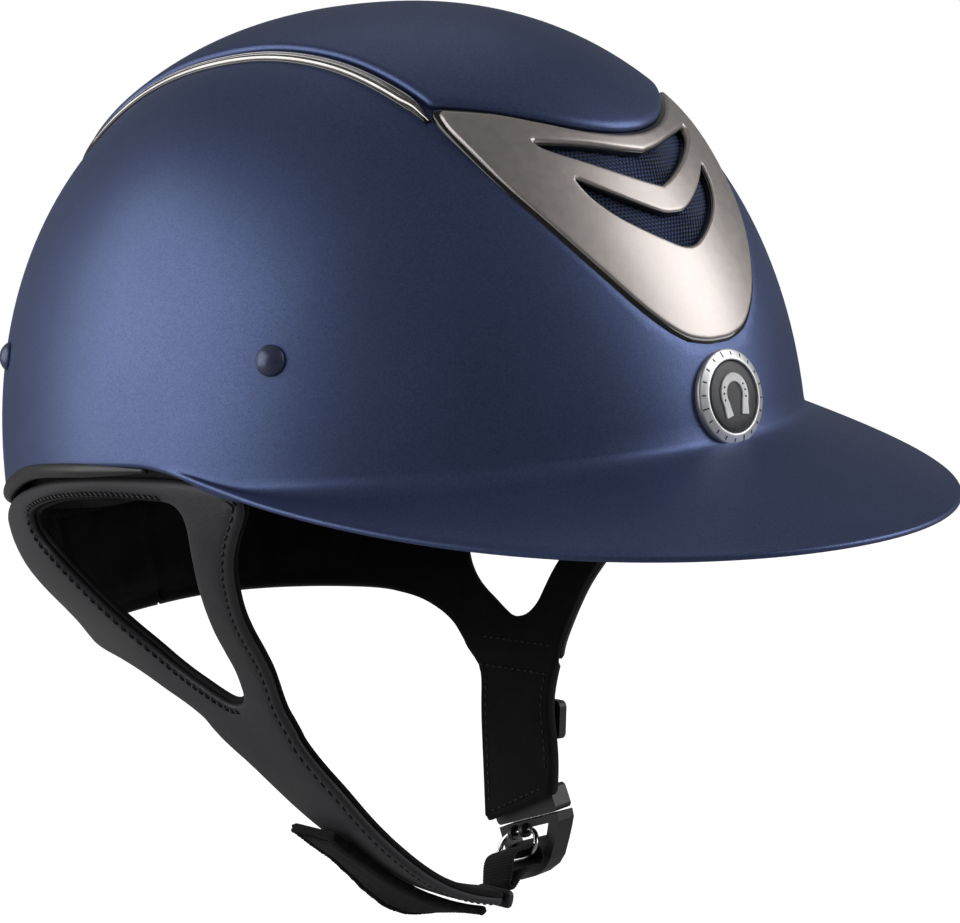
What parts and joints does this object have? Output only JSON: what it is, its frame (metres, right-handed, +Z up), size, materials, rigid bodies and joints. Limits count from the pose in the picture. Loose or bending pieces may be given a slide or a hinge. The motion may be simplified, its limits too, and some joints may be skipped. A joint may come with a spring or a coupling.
{
  "type": "equestrian riding helmet",
  "caption": "Riding helmet with a wide brim, raised crown panel, vented front plate, foam liner and a Y-shaped harness closed by a side-sliding buckle under the chin.",
  "frame": {"origin": "centre of the shell's widest level, on the middle plane, straight above the head opening", "axes": "+Z up through the crown, the brim points along -Y, the wearer's left is +X"},
  "size_m": [0.212, 0.3097, 0.2739],
  "materials": {
    "shell_paint": "matte metallic navy lacquer with fine flake",
    "rivet_paint": "satin navy dome heads",
    "dark_chrome": "dark polished chrome strip",
    "gloss_black": "gloss black frame",
    "gunmetal": "warm grey satin-gloss plate",
    "navy_mesh": "fine woven air mesh",
    "brushed_silver": "brushed silver bevel",
    "badge_dark": "dark grey disc",
    "badge_white": "white raised emblem",
    "washer_steel": "plain washer",
    "piping_rubber": "matte black edging",
    "foam_black": "expanded foam beads, black",
    "pad_fabric": "soft black wicking fabric",
    "webbing_black": "ribbed black webbing",
    "leather_grey": "fine-grained dark grey leatherette with stitching",
    "suede_black": "black suede lining",
    "buckle_plastic": "satin black moulded plastic",
    "magnet_steel": "plated magnet",
    "ring_chrome": "polished wire",
    "hook_fabric": "black hook-and-loop tape"
  },
  "bodies": {
    "shell": {"outer_shell": "shell_paint", "crown_panel": "shell_paint", "side_trim_right": "dark_chrome", "side_trim_left": "dark_chrome", "inlay_border": "gloss_black", "vent_mesh": "navy_mesh", "front_inlay": "gunmetal", "badge_ring": "brushed_silver", "badge_disc": "badge_dark", "badge_emblem": "badge_white", "harness_rivets": "rivet_paint", "rivet_washers": "washer_steel", "rim_piping": "piping_rubber", "rear_vent_grille": "gloss_black", "rear_vent_mesh": "navy_mesh", "foam_liner": "foam_black", "crown_pad": "pad_fabric", "brow_pad": "pad_fabric", "side_pad_right": "pad_fabric", "side_pad_left": "pad_fabric", "rear_pad": "pad_fabric", "hanger_straps": "webbing_black", "harness_right": "leather_grey", "harness_left": "leather_grey", "lining_right": "suede_black", "lining_left": "suede_black", "neckband": "leather_grey", "neckband_pad": "suede_black"},
    "left_strap": {"left_tab": "suede_black", "left_webbing": "webbing_black", "buckle_upper": "buckle_plastic", "magnet_upper": "magnet_steel"},
    "tab_slider_body": {"tab_slider": "buckle_plastic"},
    "chin": {"chin_strap": "leather_grey", "strap_keeper": "buckle_plastic"},
    "tail": {"hook_tail": "hook_fabric"},
    "buckle_slider": {"buckle_lower": "buckle_plastic", "magnet_lower": "magnet_steel", "strap_loop": "webbing_black"},
    "ring": {"wire_ring": "ring_chrome"}
  },
  "joints": [
    {"name": "chin_strap_swing", "type": "hinge", "parent": "shell", "child": "chin", "pos_m": [-0.0546, 0, -0.0718], "axis": [0, 1, 0], "range_deg": [0, 35]},
    {"name": "tail_adjust", "type": "hinge", "parent": "chin", "child": "tail", "pos_m": [0.05215, 0, -0.02853], "axis": [0, 1, 0], "range_deg": [-2.5, 5]},
    {"name": "buckle_release", "type": "slide", "parent": "chin", "child": "buckle_slider", "axis": [0, -0.9449, 0.3272], "range_m": [0, 0.01]},
    {"name": "ring_pivot", "type": "hinge", "parent": "buckle_slider", "child": "ring", "pos_m": [0.0471, 0.00939, -0.12721], "axis": [0, 0.9449, -0.3272], "range_deg": [-6, 6]},
    {"name": "left_tab_flex", "type": "hinge", "parent": "shell", "child": "left_strap", "pos_m": [0.0545, 0, -0.072], "axis": [0, -1, 0], "range_deg": [0, 12]},
    {"name": "slider_adjust", "type": "slide", "parent": "left_strap", "child": "tab_slider_body", "axis": [0.1483, 0, 0.9889], "range_m": [-0.006, 0.006]}
  ]
}
